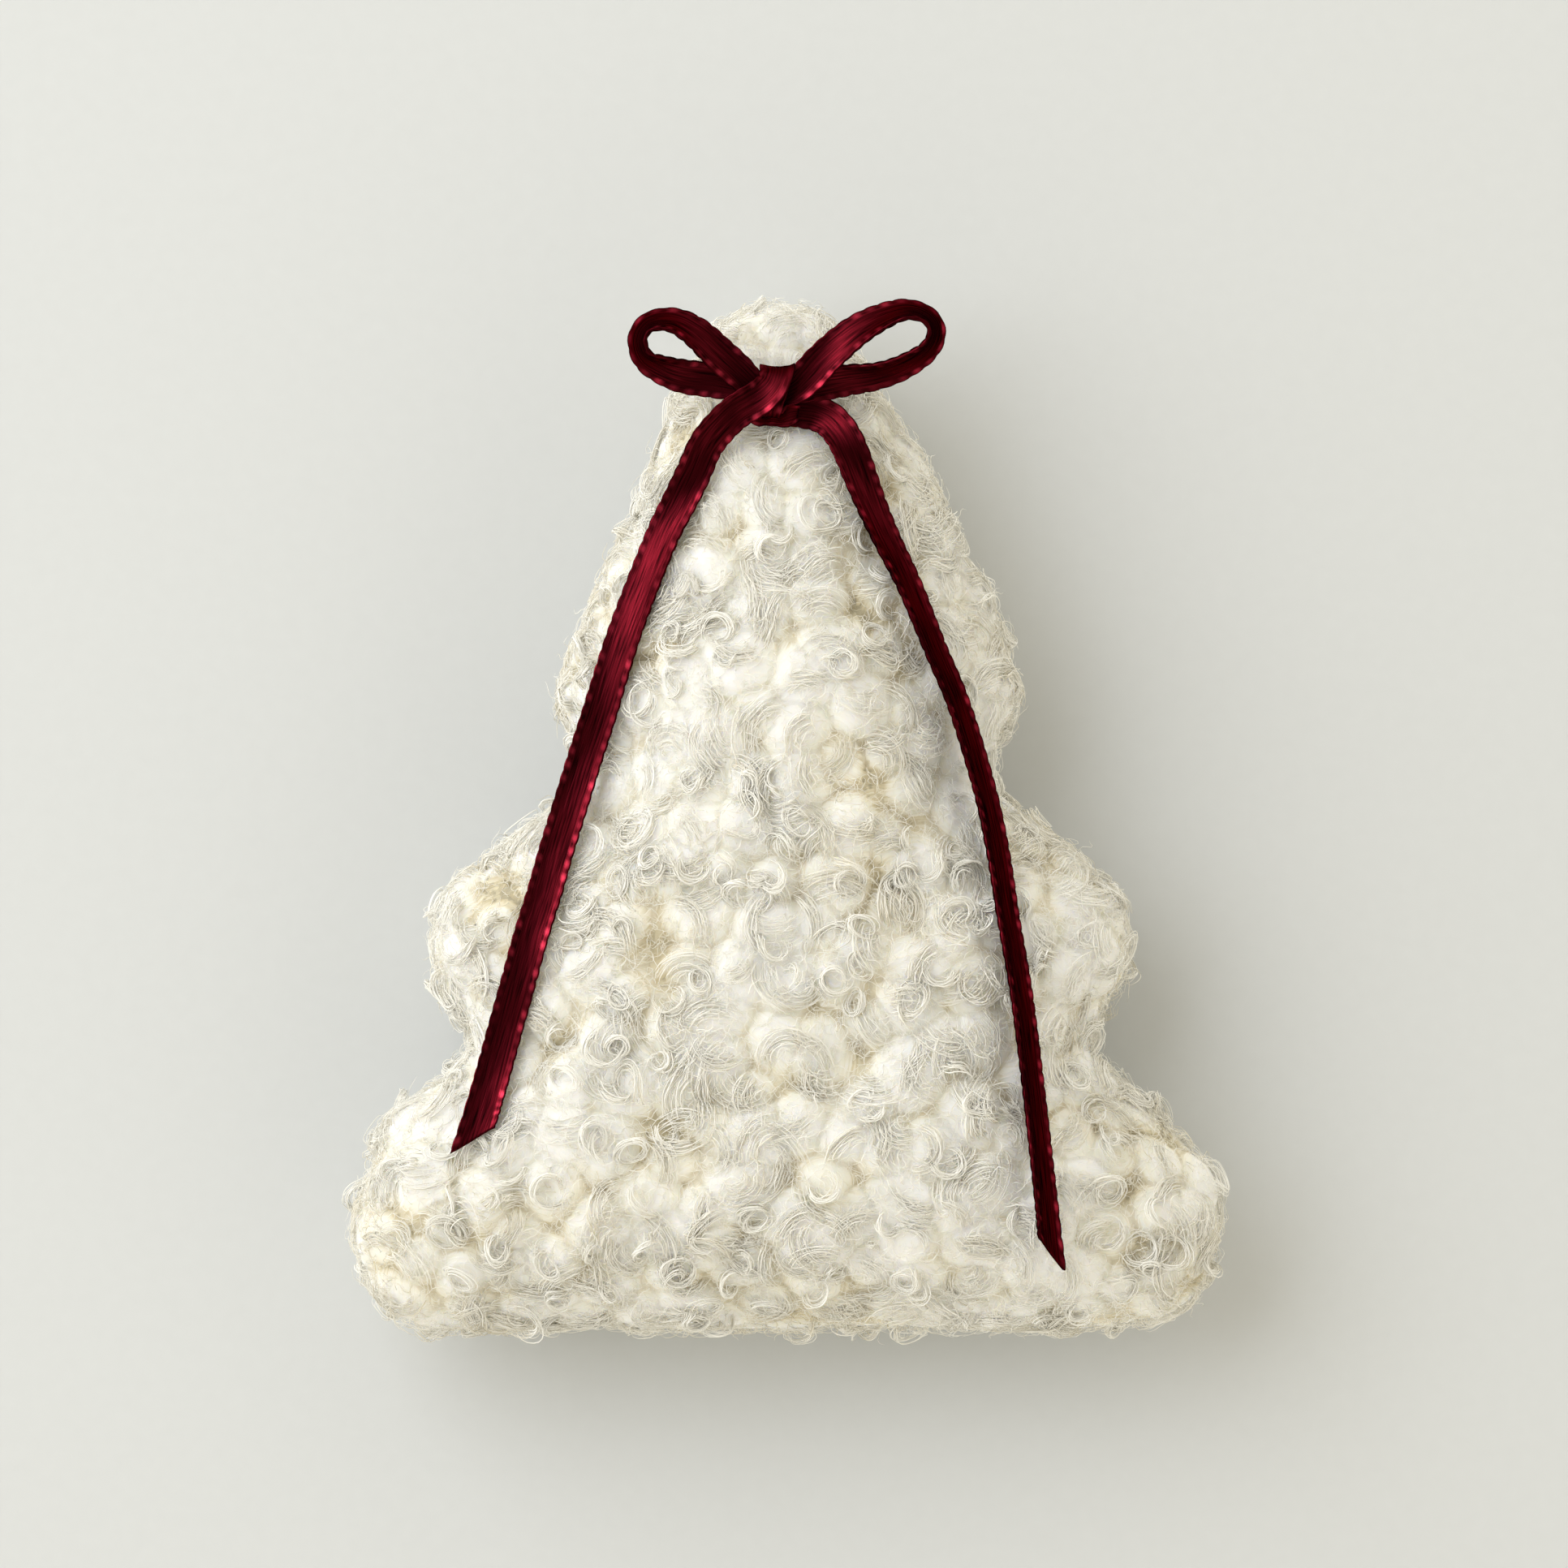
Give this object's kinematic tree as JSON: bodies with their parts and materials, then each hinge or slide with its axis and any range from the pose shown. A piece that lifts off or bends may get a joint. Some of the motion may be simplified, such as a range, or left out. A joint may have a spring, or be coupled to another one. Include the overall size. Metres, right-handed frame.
{
  "type": "stuffed tree ornament",
  "caption": "Small stuffed Christmas tree ornament in cream curly-pile cloth, sewn round its edge, with a narrow satin ribbon bow tacked to its neck and long tails laid down the front.",
  "frame": {"origin": "middle of the tree's plan box, on the flat of the back that it rests on", "axes": "+X to the right as the front is seen, +Y towards the tree's tip, +Z out of the front"},
  "size_m": [0.0782, 0.0916, 0.0241],
  "materials": {
    "boucle_cloth": "cream curly looped pile on a knitted backing, matt",
    "fibre_filling": "loose white polyester fibre",
    "sewing_thread": "off-white spun polyester thread",
    "satin_ribbon": "dark red double-faced satin with woven edges, glossy along its length",
    "tacking_thread": "dark red spun polyester thread"
  },
  "bodies": {
    "tree": {"front_panel": "boucle_cloth", "back_panel": "boucle_cloth", "stuffing": "fibre_filling", "seam_thread": "sewing_thread", "closing_thread": "sewing_thread", "bow_knot": "satin_ribbon", "bow_stitch": "tacking_thread"},
    "left_loop": {"bow_loop_left": "satin_ribbon"},
    "right_loop": {"bow_loop_right": "satin_ribbon"},
    "left_tail": {"bow_tail_left": "satin_ribbon"},
    "right_tail": {"bow_tail_right": "satin_ribbon"}
  },
  "joints": [
    {"name": "left_loop_flex", "type": "hinge", "parent": "tree", "child": "left_loop", "pos_m": [-0.0029, 0.0374, 0.0209], "axis": [0, 1, 0], "range_deg": [-15, 30], "stiffness_Nm_per_rad": 0.00001},
    {"name": "right_loop_flex", "type": "hinge", "parent": "tree", "child": "right_loop", "pos_m": [0.0003, 0.0374, 0.0209], "axis": [0, -1, 0], "range_deg": [-15, 30], "stiffness_Nm_per_rad": 0.00001},
    {"name": "left_tail_lift", "type": "hinge", "parent": "tree", "child": "left_tail", "pos_m": [-0.0031, 0.0365, 0.0219], "axis": [-0.9344, 0.3562, 0], "range_deg": [0, 60]},
    {"name": "right_tail_lift", "type": "hinge", "parent": "tree", "child": "right_tail", "pos_m": [0.0011, 0.036, 0.0198], "axis": [-0.9597, -0.2809, 0], "range_deg": [0, 60]}
  ]
}
